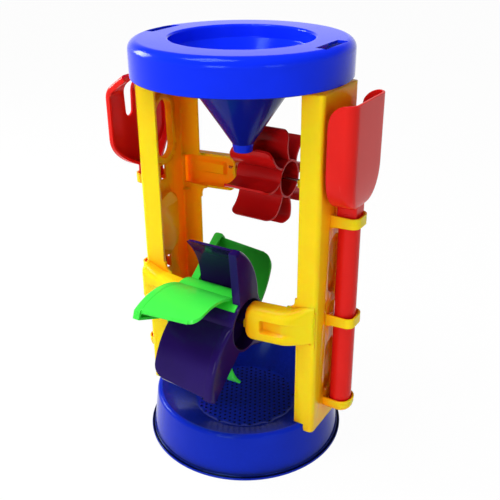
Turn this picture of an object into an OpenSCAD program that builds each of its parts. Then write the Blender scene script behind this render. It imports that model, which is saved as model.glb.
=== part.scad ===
// Sand wheel toy: a hopper on two columns pours sand over two paddle wheels into a sieve base.
// X runs from the left column to the right one, the front is -Y, Z is up,
// and the origin is the centre of the base's underside. Sizes are in millimetres.

/* [Base tray] */
// Outer radius of the foot flange
base_flange_r = 103.2; // [101:0.1:112]
// Thickness of the foot flange
base_flange_t = 2.6; // [1.5:0.1:5]
// Outer radius of the wall at its foot
base_foot_r = 99.9; // [97:0.1:100.5]
// Outer radius of the rim
base_rim_r = 94.75; // [93:0.05:95.5]
// Radius of the rolled rim
base_rim_round = 4; // [2.5:0.1:5]
// Height of the rim above the ground
base_h = 47.3; // [38:0.1:56]
// Wall thickness of the base
base_wall = 2.4; // [1.6:0.1:3.2]
// Radius of the sieve floor
sieve_r = 55; // [40:0.5:62]
// Height of the sieve floor's top
sieve_z = 28; // [22:0.5:33]
// Distance between sieve holes
sieve_pitch = 6; // [5.5:0.1:12]
// Width across the corners of a sieve hole
sieve_hole = 3.2; // [1.5:0.1:4]

/* [Hopper] */
// Outer radius of the skirt
hopper_r = 100; // [99:0.1:112]
// Height of the skirt
hopper_h = 32; // [26:0.5:44]
// Radius of the skirt's top edge
hopper_round = 8.5; // [4:0.1:11]
// Radius of the mouth
mouth_r = 64.5; // [50:0.5:70]
// Depth of the straight well below the mouth
well_h = 12; // [6:0.5:20]
// Wall thickness of the hopper
hopper_wall = 2.4; // [1.6:0.1:3.2]
// Height of the cone below the well
cone_h = 84; // [70:0.5:90]
// Outer radius of the spout
spout_r = 9.4; // [6:0.1:14]
// Length of the spout
spout_h = 9; // [4:0.5:16]

/* [Columns] */
// Distance from the middle to a column's outer face
column_x = 98.2; // [98:0.1:99]
// Depth of a column's channel
column_depth = 19.9; // [17:0.1:24]
// Width of a column
column_w = 70; // [60:0.5:76]
// Wall thickness of a column
column_wall = 2.5; // [1.8:0.1:3.2]
// Corner radius of a column
column_round = 5; // [3:0.1:8]
// Height of a column's ledge, just under the skirt
ledge_z = 376.5; // [366:0.5:396]
// Depth that a column's foot hangs down outside the rim
foot_drop = 7.3; // [4:0.1:12]
// Gap between the ledge and the skirt
ledge_gap = 2.5; // [1:0.1:5]
// Length of the tab that fills the hopper's slot
tab_w = 40; // [24:0.5:44]
// Distance of the tab behind the column's outer face
tab_inset = 8.7; // [7:0.1:10]
// Distance of the neck's sides from the column's sides
neck_side = 4; // [3:0.1:8]
// Distance of the neck's web behind the column's outer face
neck_back = 3; // [2:0.1:5]

/* [Windows and pockets] */
// Width of the oval window and pockets
oval_w = 24; // [16:0.5:28]
// Height of the oval window and pockets
oval_h = 60; // [40:0.5:64]
// Height of the oval window's middle
window_z = 314; // [308:0.5:322]
// Width of the raised rim round the oval window
window_rim = 6; // [3:0.1:8]
// Height of the upper pocket's middle
upper_pocket_z = 214; // [211:0.5:217]
// Height of the lower pocket's middle
lower_pocket_z = 104; // [100:0.5:110]
// Depth of a pocket
pocket_depth = 5; // [2:0.1:8]
// Wall round a pocket
pocket_wall = 3; // [2:0.1:4]
// Height of a square window above its loop's lower edge
square_lift = 3.5; // [2:0.1:6]
// Height of a square window
square_h = 15.5; // [12:0.5:17]

/* [Tool loops] */
// Distance from a column's face to the tool handle's axis
tool_reach = 13.3; // [13.1:0.1:16]
// Radius of the handle at its lower end
handle_r = 11.2; // [9:0.1:11.3]
// Radius of the handle below the tool's head
handle_top_r = 10; // [8:0.1:10.6]
// Clearance round the handle in the cup
handle_gap = 0.6; // [0.3:0.1:1.2]
// Thickness of a loop
loop_t = 2.4; // [1.8:0.1:3.2]
// Height of a loop's band
loop_h = 10; // [6:0.5:12]
// Extra reach of a loop past the handle
loop_nose = 3; // [0:0.1:5]
// Lower edge of the upper loop
upper_loop_z = 256.5; // [253:0.5:258]
// Lower edge of the middle loop
middle_loop_z = 155.5; // [150:0.5:158]
// Underside of the cup
cup_z = 60.5; // [54:0.5:66]

/* [Axle arms] */
// Distance from the middle to an arm's end
arm_end = 37; // [34:0.1:40]
// Depth of an arm, front to back
arm_depth = 15.5; // [13:0.5:16.5]
// Height of an arm
arm_h = 37; // [32:0.5:42]
// Corner radius of an arm
arm_round = 8; // [4:0.1:8.5]
// Distance that the column swells out at the arm
arm_swell = 11.5; // [9:0.1:14]
// Angle of the arm to the X axis
arm_slant = 8.5; // [5:0.1:10]
// Height of an arm's middle above its axle
arm_lift = 4.5; // [3:0.1:6]
// Radius of the hollow curve above the swell
shoulder_r = 11; // [8:0.5:14]
// Radius of the fillet between an arm and its column
arm_fillet = 8; // [4:0.5:10]
// Length of the lug that holds the axle
lug_len = 8.5; // [4:0.1:9]
// Width of the lug
lug_w = 7; // [6:0.1:9]
// Height of the lug from the axle's middle
lug_h = 10; // [6:0.1:12]
// Depth of the smiling groove in the arm's face
groove_depth = 5.5; // [3:0.1:7]
// Width of the groove
groove_w = 10.5; // [6:0.1:12]
// Distance of the groove's blunt end from the arm's end
groove_end = 14; // [11:0.5:18]
// Radius of the groove's lower arc
groove_low_r = 42; // [36:0.5:48]
// Radius of the groove's upper arc
groove_high_r = 80; // [72:0.5:90]

/* [Axles] */
// Diameter of an axle
axle_d = 3; // [2.4:0.1:4]
// Clearance of a wheel on its axle, on the radius
axle_gap = 0.06; // [0.02:0.01:0.1]
// Length of an axle past the arm's end face
axle_tail = 9; // [5:0.5:12]
// Distance of the lower axle in front of the middle
lower_axle_y = 48; // [46:0.1:50]
// Height of the lower axle
lower_axle_z = 153; // [150:0.5:156]
// Distance of the upper axle behind the middle
upper_axle_y = 46.5; // [46:0.1:50]
// Height of the upper axle
upper_axle_z = 268.5; // [266:0.5:272]

/* [Upper wheel] */
// Radius of the upper wheel
upper_r = 49; // [42:0.5:52]
// Width of the upper wheel
upper_w = 50; // [40:0.5:54]
// Outer radius of the hub
hub_r = 19.5; // [14:0.1:22]
// Wall thickness of the wheel
upper_wall = 2.2; // [1.6:0.1:3]
// Number of blades
upper_blades = 8; // [6:1:10]
// Radius of a blade's curve
upper_curve = 27; // [22:0.5:40]
// Radius of a blade's corners
upper_corner = 9; // [4:0.5:11]
// Diameter of the bearing sleeve
sleeve_d = 9; // [7:0.1:12]

/* [Lower wheel] */
// Radius of the lower wheel at the end walls
lower_r = 82; // [74:0.5:84]
// Radius of the lower wheel at the blades' free ends
lower_free_r = 77; // [70:0.5:80]
// Width of the lower wheel
lower_w = 75.4; // [73:0.1:78]
// Distance of the lower wheel's middle to the left of the toy's middle
lower_shift = 4.5; // [2:0.1:5.5]
// Gap between a blade's free end and the other half's rolled lip
nest_gap = 0.7; // [0.4:0.1:2]
// Wall thickness of the lower wheel
lower_wall = 2.5; // [1.8:0.1:3.2]
// Radius of a blade's curve
lower_curve = 70; // [66:0.5:76]
// Distance along the lobe to the centre of the blade's curve
curve_along = 27.8; // [25:0.1:31]
// Distance across the lobe to the centre of the blade's curve
curve_across = 46.2; // [43:0.1:49]
// Distance of the end wall's front edge from the lobe's line
lobe_front = 10; // [6:0.1:13]
// Radius of the round well in an end wall
well_r = 25.5; // [25:0.1:28]
// Depth of the round well
well_depth = 15; // [14.5:0.1:18]
// Width of the rolled lip round the end wall
lip_w = 8.5; // [5:0.1:10]
// Turn of the purple half
purple_turn = 96; // [0:1:120]

/* [Shovel and rake] */
// Half width of the shovel's scoop
scoop_half_w = 34.4; // [28:0.1:38]
// Distance from the handle's axis to the outer face of the scoop
scoop_reach = 14.1; // [12:0.1:16]
// Depth of the scoop
scoop_depth = 23.5; // [16:0.1:24]
// Top of the scoop
scoop_top_z = 370; // [350:0.5:376]
// Height where the scoop's back begins
scoop_back_z = 308; // [300:0.5:316]
// Corner radius of the scoop
scoop_round = 6; // [3:0.1:10]
// Corner radius of the scoop's side walls at the tip
scoop_tip = 18; // [10:0.5:20]
// Wall thickness of the tools
tool_wall = 2.4; // [1.8:0.1:3]
// Side of the square neck
neck_w = 19; // [15:0.5:20]
// Lower end of the neck
neck_z = 268.5; // [267.5:0.5:272]
// Upper end of the neck
neck_top_z = 284; // [278:0.5:290]
// Distance from the handle's axis to the outer face of the rake
rake_reach = 14.5; // [13:0.1:16]
// Half width of the rake's head
rake_half_w = 45; // [38:0.5:50]
// Height where the tines begin to bend
tine_bend_z = 347; // [340:0.5:352]
// Height of the root of the tines' slots
slot_z = 326; // [318:0.5:332]
// Width of a slot between tines
slot_w = 12.5; // [8:0.5:15]
// Distance from the middle to a slot's middle
slot_y = 12.7; // [11:0.1:18]
// Height of the rake's side walls
rake_side = 9; // [5:0.1:12]

/* [Hidden] */
$fn = 64;
cut = 1;                     // how far a cut runs past a face
slice = 0.1;                 // height of a slice in a head's rounded back
seat = 0.05;                 // clearance between seated faces
fit = 0.3;                   // clearance round a piece that lifts out or turns
pinch = 0.02;                // clearance of an axle in its arms
blade_set = 0.4;             // how far a blade's edges stand in from its hub or end wall
neck_gap = 0.4;              // clearance of a column's neck in the skirt
slot_reach = 7.5;            // length of the hopper's slot behind the tab
slot_end = 1;                // gap at each end of the tab
tab_drop = 0.6;              // distance of the tab's top below the hopper's top
tine_gap = 1;                // gap between the bent tines and the skirt
lower_blades = 3;            // each half has three blades between the other half's three
skirt_z = ledge_z + ledge_gap;
top_z = skirt_z + hopper_h;
column_in = column_x - column_depth;
half_w = column_w / 2;
foot_z = base_h - foot_drop;
web_in = column_x - column_wall;
tab_x = column_x - tab_inset;
tool_x = column_x + tool_reach;
loop_r = handle_r + handle_gap;
handle_foot_z = cup_z + loop_t + fit;
axle_r = axle_d / 2;
bore_r = axle_r + axle_gap;
lower_axle_at = [0, -lower_axle_y, lower_axle_z];
upper_axle_at = [0, upper_axle_y, upper_axle_z];
arm_len = (column_x - arm_end) / cos(arm_slant);
arm_low = arm_lift - arm_h / 2;
arm_high = arm_lift + arm_h / 2;
scoop_out = tool_x + scoop_reach;
scoop_in = scoop_out - scoop_depth;
rake_out = tool_x + rake_reach;
rake_in = rake_out - rake_side;
tine_round = rake_out - hopper_r - tine_gap;

// Points of an arc about c from angle a to angle b
function arc(c, r, a, b, n = 10) =
    [for (i = [0:n]) c + r * [cos(a + (b - a) * i / n), sin(a + (b - a) * i / n)]];

// A flat shape in Y and Z, carried along X from x0 to x1
module along_x(x0, x1) {
    translate([x0, 0, 0]) rotate([90, 0, 90]) linear_extrude(x1 - x0) children();
}

// A flat shape in X and Z, carried along Y from y0 to y1
module along_y(y0, y1) {
    translate([0, y1, 0]) rotate([90, 0, 0]) linear_extrude(y1 - y0) children();
}

// A flat shape in X and Y, carried up from z0 to z1
module along_z(z0, z1) {
    translate([0, 0, z0]) linear_extrude(z1 - z0) children();
}

// A rectangle from corner a to corner b with rounded corners
module round_rect(a, b, r) {
    translate(a + [r, 0]) square([b[0] - a[0] - 2 * r, b[1] - a[1]]);
    translate(a + [0, r]) square([b[0] - a[0], b[1] - a[1] - 2 * r]);
    for (x = [a[0] + r, b[0] - r], y = [a[1] + r, b[1] - r]) translate([x, y]) circle(r);
}

// An upright oval with round ends
module oval(w, h) {
    square([w, h - w], center = true);
    for (side = [-1, 1]) translate([0, side * (h - w) / 2]) circle(w / 2);
}

module sieve_holes() {
    row_h = sieve_pitch * sin(60);
    rows = floor(sieve_r / row_h);
    reach = sieve_r - sieve_pitch / 2;
    for (j = [-rows:rows], i = [-rows - 1:rows + 1]) {
        x = (i + (j % 2 == 0 ? 0 : 0.5)) * sieve_pitch;
        y = j * row_h;
        if (norm([x, y]) < reach) translate([x, y]) circle(sieve_hole / 2, $fn = 4);
    }
}

// Foot flange, tapered wall, rolled rim, dish and sieve floor in one turned profile
module base_profile() {
    rim_c = [base_rim_r - base_rim_round, base_h - base_rim_round];
    dish = atan2(rim_c[1] - sieve_z, rim_c[0] - sieve_r);
    polygon(concat(
        [[base_flange_r, 0], [base_flange_r, base_flange_t], [base_foot_r, base_flange_t]],
        arc(rim_c, base_rim_round, 5, 90 + dish),
        [[sieve_r, sieve_z], [0, sieve_z], [0, sieve_z - base_wall], [sieve_r, sieve_z - base_wall]],
        arc(rim_c, base_rim_round - base_wall, 90 + dish, 5),
        [[base_foot_r - base_wall, base_flange_t], [base_foot_r - base_wall, 0]]));
}

module base_tray() {
    color("#1a2fc0") difference() {
        rotate_extrude($fn = 128) base_profile();
        along_z(sieve_z - base_wall - cut, sieve_z + cut) sieve_holes();
    }
}

// Skirt, top ring, well, cone and spout in one turned profile
module hopper_profile() {
    lip = 1.5;
    draft = 0.7;
    well_z = top_z - well_h;
    cone_z = well_z - cone_h;
    well_in = mouth_r - draft;
    spout_in = spout_r - hopper_wall;
    edge_c = [hopper_r - hopper_round, top_z - hopper_round];
    polygon(concat(
        [[hopper_r, skirt_z]],
        arc(edge_c, hopper_round, 0, 90),
        arc([mouth_r + lip, top_z - lip], lip, 90, 180, 6),
        [[well_in, well_z], [spout_in, cone_z], [spout_in, cone_z - spout_h],
         [spout_r, cone_z - spout_h], [spout_r, cone_z - draft],
         [well_in + hopper_wall, well_z - draft], [mouth_r + hopper_wall, top_z - hopper_wall]],
        arc(edge_c, hopper_round - hopper_wall, 90, 0),
        [[hopper_r - hopper_wall, skirt_z]]));
}

module hopper() {
    color("#1a2af0") difference() {
        rotate_extrude($fn = 128) hopper_profile();
        for (side = [0, 180]) rotate([0, 0, side])
            translate([tab_x - slot_reach, -tab_w / 2 - slot_end, top_z - hopper_wall - cut])
                cube([slot_reach + column_wall + fit, tab_w + 2 * slot_end, hopper_wall + 2 * cut]);
    }
}

// Outline of a column's channel, closed towards the middle of the toy
module column_outline() {
    translate([column_in, -half_w]) square([column_depth - column_round, column_w]);
    translate([column_in, -half_w + column_round])
        square([column_depth, column_w - 2 * column_round]);
    for (side = [-1, 1])
        translate([column_x - column_round, side * (half_w - column_round)]) circle(column_round);
}

// Hollow of the channel, open towards the middle of the toy
module column_hollow() {
    inner = column_round - column_wall;
    round_rect([0, -half_w + column_wall], [web_in, half_w - column_wall], inner);
}

// Outline of the neck inside the skirt, drawn smaller by shrink
module neck_outline(shrink) {
    translate([column_in, -half_w + neck_side + shrink])
        square([column_depth - neck_back - shrink, column_w - 2 * (neck_side + shrink)]);
}

// Space inside the skirt and under the top ring, rounded like the hopper's inside
module skirt_space() {
    low = ledge_z - column_wall;
    r = hopper_round - hopper_wall - seat;
    c = [hopper_r - hopper_round - neck_gap + seat, top_z - hopper_round];
    rotate_extrude($fn = 128) polygon(concat(
        [[0, low], [c[0] + r, low]], arc(c, r, 0, 90), [[0, c[1] + r]]));
}

// Narrower channel inside the skirt that carries the hopper's top ring, with the tab behind its web
module column_neck() {
    intersection() {
        difference() {
            along_z(ledge_z - column_wall, top_z) neck_outline(0);
            along_z(ledge_z, top_z + cut) translate([-column_wall, 0]) neck_outline(column_wall);
        }
        skirt_space();
    }
    translate([tab_x, -tab_w / 2, ledge_z - column_wall])
        cube([column_wall, tab_w, top_z - tab_drop - ledge_z + column_wall]);
}

// U-shaped band round a tool handle, seen from above
module loop_outline(r, nose) {
    translate([tool_x + nose, 0]) circle(r);
    translate([web_in, -r]) square([tool_x + nose - web_in, 2 * r]);
}

module tool_loop(z) {
    difference() {
        along_z(z, z + loop_h) loop_outline(loop_r + loop_t, loop_nose);
        along_z(z - cut, z + loop_h + cut) loop_outline(loop_r, loop_nose);
    }
}

module tool_cup() {
    difference() {
        along_z(cup_z, cup_z + loop_h) loop_outline(loop_r + loop_t, 0);
        along_z(cup_z + loop_t, cup_z + loop_h + cut) loop_outline(loop_r, 0);
    }
}

// Form of an arm along its own line: x runs to the end, y is the outward face, z is up
module arm_form(inset) {
    low = arm_low + inset;
    high = arm_high - inset;
    r = arm_round - inset;
    past = 2 * arm_depth;
    intersection() {
        along_x(-cut, arm_len - inset) round_rect([-past, low], [-inset, high], r);
        along_z(low - cut, high + cut) round_rect([-past, -past], [arm_len - inset, -inset], r / 2);
        along_y(inset > 0 ? -past : -arm_depth, cut)
            round_rect([-past, low], [arm_len - inset, high], r);
    }
}

// Shoulder above an arm: a hollow curve from the arm's rounded edge up to the column's side,
// and the fillet between the arm's top and the column's inner edge
module arm_shoulder() {
    bite = 0.02;
    side = column_depth / cos(arm_slant);
    back = arm_swell + column_depth * sin(arm_slant);
    edge_c = [-arm_round, arm_high - arm_round];
    y = shoulder_r - back;
    c = [y, edge_c[1] + sqrt((arm_round + shoulder_r - bite) ^ 2 - (y - edge_c[0]) ^ 2)];
    intersection() {
        along_x(0, side + arm_fillet) difference() {
            polygon([edge_c, c, [-2 * arm_depth, c[1]], [-2 * arm_depth, edge_c[1]]]);
            translate(c) circle(shoulder_r);
        }
        along_y(-2 * arm_depth, 0) difference() {
            translate([0, edge_c[1]]) square([side + arm_fillet, 2 * arm_h]);
            translate([side + arm_fillet, arm_high + arm_fillet]) circle(arm_fillet);
            translate([side, arm_high + arm_fillet]) square(2 * arm_h);
        }
    }
}

// The groove between two arcs that smile up towards the column
module arm_groove(grow) {
    flat = arm_len - groove_end + grow;
    low = arm_lift - groove_w / 2 - grow;
    lower = groove_low_r + grow;
    upper = groove_high_r - grow;
    low_point = 8;
    high_point = 2;
    along_y(-groove_depth - grow, cut) difference() {
        translate([flat - low_point, low + lower]) circle(lower);
        translate([flat - high_point, low + groove_w + 2 * grow + upper]) circle(upper);
        translate([flat, -arm_h]) square([lower, 4 * arm_h]);
    }
}

// Puts an arm's own line onto the column, for the arm in front of the right column
module on_arm() {
    translate([column_x, -half_w - arm_swell, 0]) rotate([0, 0, 180 + arm_slant]) children();
}

module arm_shell() {
    on_arm() {
        arm_form(0);
        arm_shoulder();
    }
}

module arm_hollow() {
    on_arm() difference() {
        arm_form(column_wall);
        translate([-2 * arm_depth, -3 * arm_depth, -arm_h])
            cube([2 * arm_depth + column_wall, 4 * arm_depth, 3 * arm_h]);
        arm_groove(column_wall);
    }
}

// Places children that are drawn for the lower arm, with z from the axle, at both arms
module at_arms() {
    translate([0, 0, lower_axle_z]) children();
    translate([0, 0, upper_axle_z]) rotate([180, 0, 0]) children();
}

// Lug at an arm's end that holds the axle from one side
module axle_lug(axle_y) {
    corner = 2.5;
    translate([0, -axle_y, 0])
        along_x(arm_end - lug_len, arm_end + column_wall)
            round_rect([-lug_w / 2, -axle_r], [lug_w / 2, lug_h], corner);
}

// Bosses behind the two pockets and the oval window
module column_web_detail() {
    ovals = [[upper_pocket_z, pocket_wall], [lower_pocket_z, pocket_wall], [window_z, window_rim]];
    for (o = ovals) along_x(web_in - pocket_depth, web_in + column_wall / 2)
        translate([0, o[0]]) oval(oval_w + 2 * o[1], oval_h + 2 * o[1]);
}

// Pockets, oval window and the square windows behind the loops
module column_web_cuts() {
    for (z = [upper_pocket_z, lower_pocket_z])
        along_x(column_x - pocket_depth, column_x + cut)
            translate([0, z]) oval(oval_w, oval_h);
    along_x(web_in - pocket_depth - cut, column_x + cut)
        translate([0, window_z]) oval(oval_w, oval_h);
    for (z = [upper_loop_z, middle_loop_z])
        translate([web_in - cut, -loop_r, z + square_lift])
            cube([column_wall + 2 * cut, 2 * loop_r, square_h]);
}

// Space that the base's rim and wall take up under a column
module rim_space() {
    rotate_extrude($fn = 128) polygon([
        [0, 0], [base_foot_r + fit, 0], [base_foot_r + fit, base_flange_t],
        [base_rim_r + fit, base_h - base_rim_round], [base_rim_r + fit, base_h + seat],
        [0, base_h + seat]]);
}

module right_column() {
    color("#f6da20") difference() {
        union() {
            difference() {
                union() {
                    along_z(foot_z, ledge_z) column_outline();
                    intersection() {
                        at_arms() arm_shell();
                        translate([0, -2 * column_w, 0]) cube([column_x, 4 * column_w, ledge_z]);
                    }
                }
                along_z(foot_z - cut, ledge_z - column_wall) column_hollow();
                at_arms() arm_hollow();
            }
            column_web_detail();
            column_neck();
            for (z = [upper_loop_z, middle_loop_z]) tool_loop(z);
            tool_cup();
            translate([0, 0, lower_axle_z]) axle_lug(lower_axle_y);
            translate([0, 0, upper_axle_z]) rotate([180, 0, 0]) axle_lug(upper_axle_y);
        }
        at_arms() on_arm() arm_groove(0);
        column_web_cuts();
        rim_space();
        for (p = [lower_axle_at, upper_axle_at]) translate(p)
            rotate([0, 90, 0]) cylinder(r = axle_r + pinch, h = arm_end + axle_tail + cut);
    }
}

module left_column() {
    mirror([1, 0, 0]) right_column();
}

module axle(p) {
    color("silver") translate(p) rotate([0, 90, 0])
        cylinder(d = axle_d, h = 2 * (arm_end + axle_tail), center = true);
}

module upper_axle() {
    axle(upper_axle_at);
}

module lower_axle() {
    axle(lower_axle_at);
}

// One curved blade of the upper wheel, pointing along +Y
module upper_blade() {
    root = hub_r - upper_wall;
    half = upper_w / 2 - blade_set;
    span = upper_r - root;
    sag = upper_curve - sqrt(upper_curve ^ 2 - (span / 2) ^ 2);
    centre = [root + span / 2, sag - upper_curve];
    intersection() {
        along_x(-half, half) difference() {
            translate(centre) circle(upper_curve);
            translate(centre) circle(upper_curve - upper_wall);
            translate([root - upper_r, -upper_r]) square([upper_r, 2 * upper_r]);
            translate([-upper_r, -2 * upper_r - upper_wall]) square([2 * upper_r, 2 * upper_r]);
        }
        along_z(-upper_wall, upper_curve)
            round_rect([-half, -upper_corner], [half, upper_r], upper_corner);
    }
}

module upper_wheel() {
    color("#d8201c") translate(upper_axle_at) difference() {
        union() {
            along_x(-upper_w / 2, upper_w / 2) difference() {
                circle(hub_r);
                circle(hub_r - upper_wall);
            }
            along_x(-upper_wall, upper_wall) circle(hub_r - upper_wall / 2);
            along_x(-upper_w / 4, upper_w / 4) circle(sleeve_d / 2);
            for (i = [0:upper_blades - 1]) rotate([360 * i / upper_blades, 0, 0]) upper_blade();
        }
        along_x(-upper_w, upper_w) circle(bore_r);
    }
}

// Claw-shaped lobe of an end wall, pointing along +Y, drawn smaller by inset
module lobe(inset) {
    intersection() {
        translate([curve_along, curve_across]) circle(lower_curve - inset, $fn = 128);
        circle(lower_r - inset, $fn = 128);
        translate([0, -lower_r]) square([lower_r, lower_r + lobe_front - inset]);
    }
}

module lobes(inset) {
    for (i = [0:lower_blades - 1]) rotate(360 * i / lower_blades) lobe(inset);
}

// One bucket blade from the end wall to its free end, pointing along +Y
module lower_blade(x_free, x_wall) {
    corner = 9;
    outer = lower_curve - blade_set / 2;
    intersection() {
        along_x(x_free, x_wall) difference() {
            translate([curve_along, curve_across]) circle(outer, $fn = 128);
            translate([curve_along, curve_across]) circle(outer - lower_wall, $fn = 128);
        }
        rotate([0, 90, 0]) translate([0, 0, x_free])
            cylinder(r1 = lower_free_r, r2 = lower_r - lower_wall / 2, h = x_wall - x_free, $fn = 128);
        along_z(-lower_r, lobe_front)
            round_rect([x_free, curve_along / 2], [x_wall + 2 * corner, lower_r], corner);
    }
}

// A half of the lower wheel with its end wall towards +X, about its own middle
module wheel_half() {
    wall_x = lower_w / 2;
    floor_x = wall_x - well_depth;
    hub = well_r + lower_wall;
    free_x = -wall_x + lip_w + nest_gap;
    difference() {
        union() {
            along_x(wall_x - lower_wall, wall_x) lobes(0);
            along_x(wall_x - lip_w, wall_x) difference() {
                lobes(0);
                lobes(lower_wall);
            }
            for (i = [0:lower_blades - 1]) rotate([360 * i / lower_blades, 0, 0])
                difference() {
                    lower_blade(free_x, wall_x - lower_wall / 2);
                    along_x(free_x - cut, 0) circle(hub + fit);
                }
            along_x(0, wall_x) circle(hub);
        }
        along_x(floor_x, wall_x + cut) circle(well_r);
        along_x(-cut, floor_x - lower_wall) difference() {
            circle(hub - lower_wall);
            circle(sleeve_d / 2);
        }
        along_x(-cut, wall_x) circle(bore_r);
    }
}

module on_lower_axle(turn) {
    translate(lower_axle_at - [lower_shift, 0, 0]) rotate([turn, 0, 0]) children();
}

module purple_wheel_half() {
    color("#2d1a68") on_lower_axle(purple_turn) wheel_half();
}

module green_wheel_half() {
    color("#46ee5c") on_lower_axle(purple_turn - 180 / lower_blades)
        mirror([1, 0, 0]) wheel_half();
}

// Round tapered handle with a rounded lower end
module handle() {
    r = 3;
    overlap = 0.5;
    translate([tool_x, 0, 0]) rotate_extrude() polygon(concat(
        [[0, handle_foot_z]],
        arc([handle_r - r, handle_foot_z + r], r, -90, 0, 6),
        [[handle_top_r, neck_z], [0, neck_z]]));
    along_z(neck_z - overlap, neck_top_z + tool_wall) translate([tool_x, 0])
        round_rect([-neck_w / 2, -neck_w / 2], [neck_w / 2, neck_w / 2], r);
}

// Slice of a tool's head, square towards the column and rounded away from it
module head_slice(z, x0, x1, half, r) {
    translate([0, 0, z]) linear_extrude(slice) {
        translate([x0, -half]) square([x1 - x0 - r, 2 * half]);
        translate([x0, -half + r]) square([x1 - x0, 2 * (half - r)]);
        for (side = [-1, 1]) translate([x1 - r, side * (half - r)]) circle(r, $fn = 32);
    }
}

// Rounded back between a head at z and the neck at z_neck, drawn smaller by inset
module head_back(z, z_neck, x0, x1, half, r, inset, past) {
    steps = 5;
    side = neck_w / 2;
    for (i = [0:steps]) {
        across = cos(90 * i / steps);
        down = sin(90 * i / steps);
        head_slice(z - (z - z_neck - inset) * down,
                   tool_x - side + (x0 - tool_x + side) * across - past,
                   tool_x + side + (x1 - tool_x - side) * across - inset,
                   side + (half - side) * across - inset, r * (1 + across) / 2);
    }
}

// Trough of the scoop, open at the top and towards the column where past is above 0
module scoop_form(inset, past) {
    hull() {
        head_back(scoop_back_z, neck_top_z, scoop_in, scoop_out, scoop_half_w, scoop_round, inset, past);
        head_slice(scoop_top_z + past, scoop_in - past, scoop_out - inset,
                   scoop_half_w - inset, scoop_round);
    }
}

module shovel() {
    color("#d8201c") {
        handle();
        intersection() {
            difference() {
                scoop_form(0, 0);
                scoop_form(tool_wall, scoop_depth);
            }
            along_y(-scoop_half_w - cut, scoop_half_w + cut)
                round_rect([scoop_in, neck_top_z - 2 * scoop_tip],
                           [scoop_out + 2 * scoop_tip, scoop_top_z], scoop_tip);
        }
    }
}

// Back of the rake's head, open at the top and towards the column where past is above 0
module rake_back(inset, past) {
    corner = 3;
    hull() {
        head_back(scoop_back_z, neck_z + inset, rake_in, rake_out, rake_half_w, corner, inset, past);
        head_slice(scoop_back_z + past, rake_in - past, rake_out - inset, rake_half_w - inset, corner);
    }
}

// Side view of the head: straight up, then bent over towards the column
module tine_side(t) {
    translate([rake_out - t, scoop_back_z]) square([t, tine_bend_z - scoop_back_z]);
    translate([rake_out - tine_round, tine_bend_z]) intersection() {
        difference() {
            circle(tine_round);
            circle(tine_round - t);
        }
        square(tine_round);
    }
}

module rake_head() {
    difference() {
        union() {
            along_y(-rake_half_w, rake_half_w) tine_side(tool_wall);
            for (side = [-1, 1]) translate([0, side * (rake_half_w - tool_wall / 2), 0])
                along_y(-tool_wall / 2, tool_wall / 2) tine_side(rake_side);
        }
        for (side = [-1, 1]) {
            along_x(tool_x - 2 * tine_round, rake_out + cut)
                translate([side * slot_y - slot_w / 2, slot_z + slot_w / 2])
                    square([slot_w, tine_bend_z + 2 * tine_round - slot_z]);
            along_x(tool_x, rake_out + cut)
                translate([side * slot_y, slot_z + slot_w / 2]) circle(slot_w / 2);
        }
    }
}

module rake() {
    color("#d8201c") mirror([1, 0, 0]) {
        handle();
        rake_head();
        difference() {
            rake_back(0, 0);
            rake_back(tool_wall, scoop_depth);
        }
    }
}

base_tray();
right_column();
left_column();
hopper();
upper_axle();
upper_wheel();
lower_axle();
purple_wheel_half();
green_wheel_half();
shovel();
rake();
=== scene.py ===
import math
import bmesh
import bpy
import numpy as np
from mathutils import Matrix, Vector
from mathutils.geometry import delaunay_2d_cdt


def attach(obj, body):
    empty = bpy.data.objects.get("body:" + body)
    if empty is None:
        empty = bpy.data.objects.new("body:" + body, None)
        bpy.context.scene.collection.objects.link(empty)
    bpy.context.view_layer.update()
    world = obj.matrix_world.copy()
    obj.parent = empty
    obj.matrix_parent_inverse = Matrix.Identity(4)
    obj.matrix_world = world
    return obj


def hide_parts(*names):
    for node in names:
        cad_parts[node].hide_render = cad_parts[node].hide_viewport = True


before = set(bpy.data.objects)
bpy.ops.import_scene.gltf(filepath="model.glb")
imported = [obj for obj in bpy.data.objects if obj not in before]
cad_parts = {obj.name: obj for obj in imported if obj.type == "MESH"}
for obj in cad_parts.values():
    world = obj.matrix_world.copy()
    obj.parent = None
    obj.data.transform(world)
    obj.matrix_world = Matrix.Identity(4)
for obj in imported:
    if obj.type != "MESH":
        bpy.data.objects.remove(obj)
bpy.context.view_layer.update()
mm = 0.001
print("frame loaded,", len(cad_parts), "solids")


# colours are written as sRGB hex and turned to linear here
def hexColor(text):
    srgb = np.array([int(text[i:i + 2], 16) for i in (1, 3, 5)]) / 255
    linear = np.where(srgb <= 0.04045, srgb / 12.92, ((srgb + 0.055) / 1.055) ** 2.4)
    return (*linear.tolist(), 1.0)


# one node with its settings (properties or input values) and its input links
def addNode(tree, kind, settings=None, links=None):
    node = tree.nodes.new(kind)
    for key, value in (settings or {}).items():
        if isinstance(key, str) and key not in node.inputs:
            setattr(node, key, value)
        else:
            node.inputs[key].default_value = value
    for key, (source, output) in (links or {}).items():
        tree.links.new(source.outputs[output], node.inputs[key])
    return node


def newMaterial(name):
    made = bpy.data.materials.new(name)
    made.use_nodes = True
    made.node_tree.nodes.clear()
    return made, made.node_tree


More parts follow.
